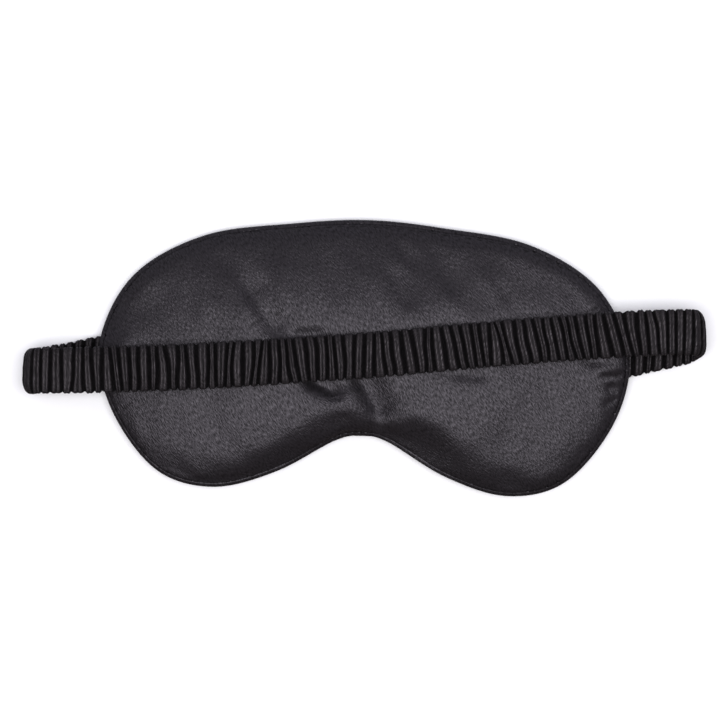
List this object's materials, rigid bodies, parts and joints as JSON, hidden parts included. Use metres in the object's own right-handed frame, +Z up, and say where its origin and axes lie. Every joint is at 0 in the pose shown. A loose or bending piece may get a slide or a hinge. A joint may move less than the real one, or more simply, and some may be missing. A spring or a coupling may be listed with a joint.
{
  "type": "sleep eye mask",
  "caption": "Padded satin sleep eye mask with a nose notch and a ruched elastic head strap, lying flat with its face side up.",
  "frame": {"origin": "centre of the bounding box on the surface that the mask lies on", "axes": "+X towards the mask's right end as seen from above, +Y towards the brow, +Z up out of the face side; the nose fold runs along Y at X = 0"},
  "size_m": [0.2686, 0.107, 0.0166],
  "materials": {
    "satin_face": "charcoal satin, soft directional sheen, fine twill speckle",
    "satin_outer": "charcoal satin, soft directional sheen",
    "satin_sleeve": "charcoal satin, tightly ruched",
    "wadding": "lofty polyester wadding, off-white, hidden",
    "lining": "matt black blackout cloth, hidden",
    "thread": "black polyester sewing thread",
    "elastic": "black braided flat elastic, hidden"
  },
  "bodies": {
    "mask_left": {"outer_panel_left": "satin_outer", "face_panel_left": "satin_face", "wadding_left": "wadding", "blackout_lining_left": "lining", "seam_allowance_left": "satin_outer", "closing_topstitch_left": "thread", "strap_tail_left": "satin_sleeve", "bartack_left": "thread"},
    "mask_right": {"outer_panel_right": "satin_outer", "face_panel_right": "satin_face", "wadding_right": "wadding", "blackout_lining_right": "lining", "seam_allowance_right": "satin_outer", "closing_topstitch_right": "thread", "strap_tail_right": "satin_sleeve", "bartack_right": "thread"},
    "strap_left_leg": {"sleeve_left_leg": "satin_sleeve", "elastic_left_leg": "elastic"},
    "strap_left_turn_lower": {"sleeve_left_turn_lower": "satin_sleeve", "elastic_left_turn_lower": "elastic"},
    "strap_left_turn_upper": {"sleeve_left_turn_upper": "satin_sleeve", "elastic_left_turn_upper": "elastic"},
    "strap_left_band_outer": {"sleeve_left_band_outer": "satin_sleeve", "elastic_left_band_outer": "elastic"},
    "strap_left_band_side": {"sleeve_left_band_side": "satin_sleeve", "elastic_left_band_side": "elastic"},
    "strap_left_band_back": {"sleeve_left_band_back": "satin_sleeve", "elastic_left_band_back": "elastic"},
    "strap_left_band_middle": {"sleeve_left_band_middle": "satin_sleeve", "elastic_left_band_middle": "elastic"},
    "strap_right_leg": {"sleeve_right_leg": "satin_sleeve", "elastic_right_leg": "elastic"},
    "strap_right_turn_lower": {"sleeve_right_turn_lower": "satin_sleeve", "elastic_right_turn_lower": "elastic"},
    "strap_right_turn_upper": {"sleeve_right_turn_upper": "satin_sleeve", "elastic_right_turn_upper": "elastic"},
    "strap_right_band_outer": {"sleeve_right_band_outer": "satin_sleeve", "elastic_right_band_outer": "elastic"},
    "strap_right_band_side": {"sleeve_right_band_side": "satin_sleeve", "elastic_right_band_side": "elastic"},
    "strap_right_band_back": {"sleeve_right_band_back": "satin_sleeve", "elastic_right_band_back": "elastic"},
    "strap_right_band_middle": {"sleeve_right_band_middle": "satin_sleeve", "elastic_right_band_middle": "elastic"}
  },
  "joints": [
    {"name": "nose_fold", "type": "hinge", "parent": "mask_left", "child": "mask_right", "pos_m": [0, 0, 0.006], "axis": [0, -1, 0], "range_deg": [0, 60]},
    {"name": "left_seam", "type": "hinge", "parent": "mask_left", "child": "strap_left_leg", "pos_m": [-0.1062, -0.0046, 0.0035], "axis": [0, 1, 0], "range_deg": [0, 48.2]},
    {"name": "left_turn_first", "type": "hinge", "parent": "strap_left_leg", "child": "strap_left_turn_lower", "pos_m": [-0.12945, -0.00955, 0.00322], "axis": [0, 1, 0], "range_deg": [-37.58, 0]},
    {"name": "left_turn_second", "type": "hinge", "parent": "strap_left_turn_lower", "child": "strap_left_turn_upper", "pos_m": [-0.1325, -0.00955, 0.0085], "axis": [0, 1, 0], "range_deg": [-51.68, 0]},
    {"name": "left_turn_third", "type": "hinge", "parent": "strap_left_turn_upper", "child": "strap_left_band_outer", "pos_m": [-0.12945, -0.00955, 0.01378], "axis": [0, 1, 0], "range_deg": [-62.42, 0]},
    {"name": "left_band_first", "type": "hinge", "parent": "strap_left_band_outer", "child": "strap_left_band_side", "pos_m": [-0.105, -0.00858, 0.0146], "axis": [0, 1, 0], "range_deg": [0, 24.5]},
    {"name": "left_band_second", "type": "hinge", "parent": "strap_left_band_side", "child": "strap_left_band_back", "pos_m": [-0.066, -0.00616, 0.0146], "axis": [0, 1, 0], "range_deg": [0, 26.6]},
    {"name": "left_band_third", "type": "hinge", "parent": "strap_left_band_back", "child": "strap_left_band_middle", "pos_m": [-0.028, -0.00263, 0.0146], "axis": [0, 1, 0], "range_deg": [0, 22.52]},
    {"name": "right_seam", "type": "hinge", "parent": "mask_right", "child": "strap_right_leg", "pos_m": [0.1062, 0.0039, 0.0035], "axis": [0, -1, 0], "range_deg": [0, 48.2]},
    {"name": "right_turn_first", "type": "hinge", "parent": "strap_right_leg", "child": "strap_right_turn_lower", "pos_m": [0.12945, 0.01115, 0.00322], "axis": [0, -1, 0], "range_deg": [-37.58, 0]},
    {"name": "right_turn_second", "type": "hinge", "parent": "strap_right_turn_lower", "child": "strap_right_turn_upper", "pos_m": [0.1325, 0.01115, 0.0085], "axis": [0, -1, 0], "range_deg": [-51.68, 0]},
    {"name": "right_turn_third", "type": "hinge", "parent": "strap_right_turn_upper", "child": "strap_right_band_outer", "pos_m": [0.12945, 0.01115, 0.01378], "axis": [0, -1, 0], "range_deg": [-62.42, 0]},
    {"name": "right_band_first", "type": "hinge", "parent": "strap_right_band_outer", "child": "strap_right_band_side", "pos_m": [0.105, 0.01142, 0.0146], "axis": [0, -1, 0], "range_deg": [0, 24.5]},
    {"name": "right_band_second", "type": "hinge", "parent": "strap_right_band_side", "child": "strap_right_band_back", "pos_m": [0.066, 0.00799, 0.0146], "axis": [0, -1, 0], "range_deg": [0, 26.6]},
    {"name": "right_band_third", "type": "hinge", "parent": "strap_right_band_back", "child": "strap_right_band_middle", "pos_m": [0.028, 0.0034, 0.0146], "axis": [0, -1, 0], "range_deg": [0, 22.52]}
  ],
  "couplings": [
    {"joint": "left_seam", "follows": "nose_fold", "ratio": 0.8},
    {"joint": "left_turn_first", "follows": "nose_fold", "ratio": -0.623},
    {"joint": "left_turn_second", "follows": "nose_fold", "ratio": -0.858},
    {"joint": "left_turn_third", "follows": "nose_fold", "ratio": -1.037},
    {"joint": "left_band_first", "follows": "nose_fold", "ratio": 0.405},
    {"joint": "left_band_second", "follows": "nose_fold", "ratio": 0.44},
    {"joint": "left_band_third", "follows": "nose_fold", "ratio": 0.372},
    {"joint": "right_seam", "follows": "nose_fold", "ratio": 0.8},
    {"joint": "right_turn_first", "follows": "nose_fold", "ratio": -0.623},
    {"joint": "right_turn_second", "follows": "nose_fold", "ratio": -0.858},
    {"joint": "right_turn_third", "follows": "nose_fold", "ratio": -1.037},
    {"joint": "right_band_first", "follows": "nose_fold", "ratio": 0.405},
    {"joint": "right_band_second", "follows": "nose_fold", "ratio": 0.44},
    {"joint": "right_band_third", "follows": "nose_fold", "ratio": 0.372}
  ]
}
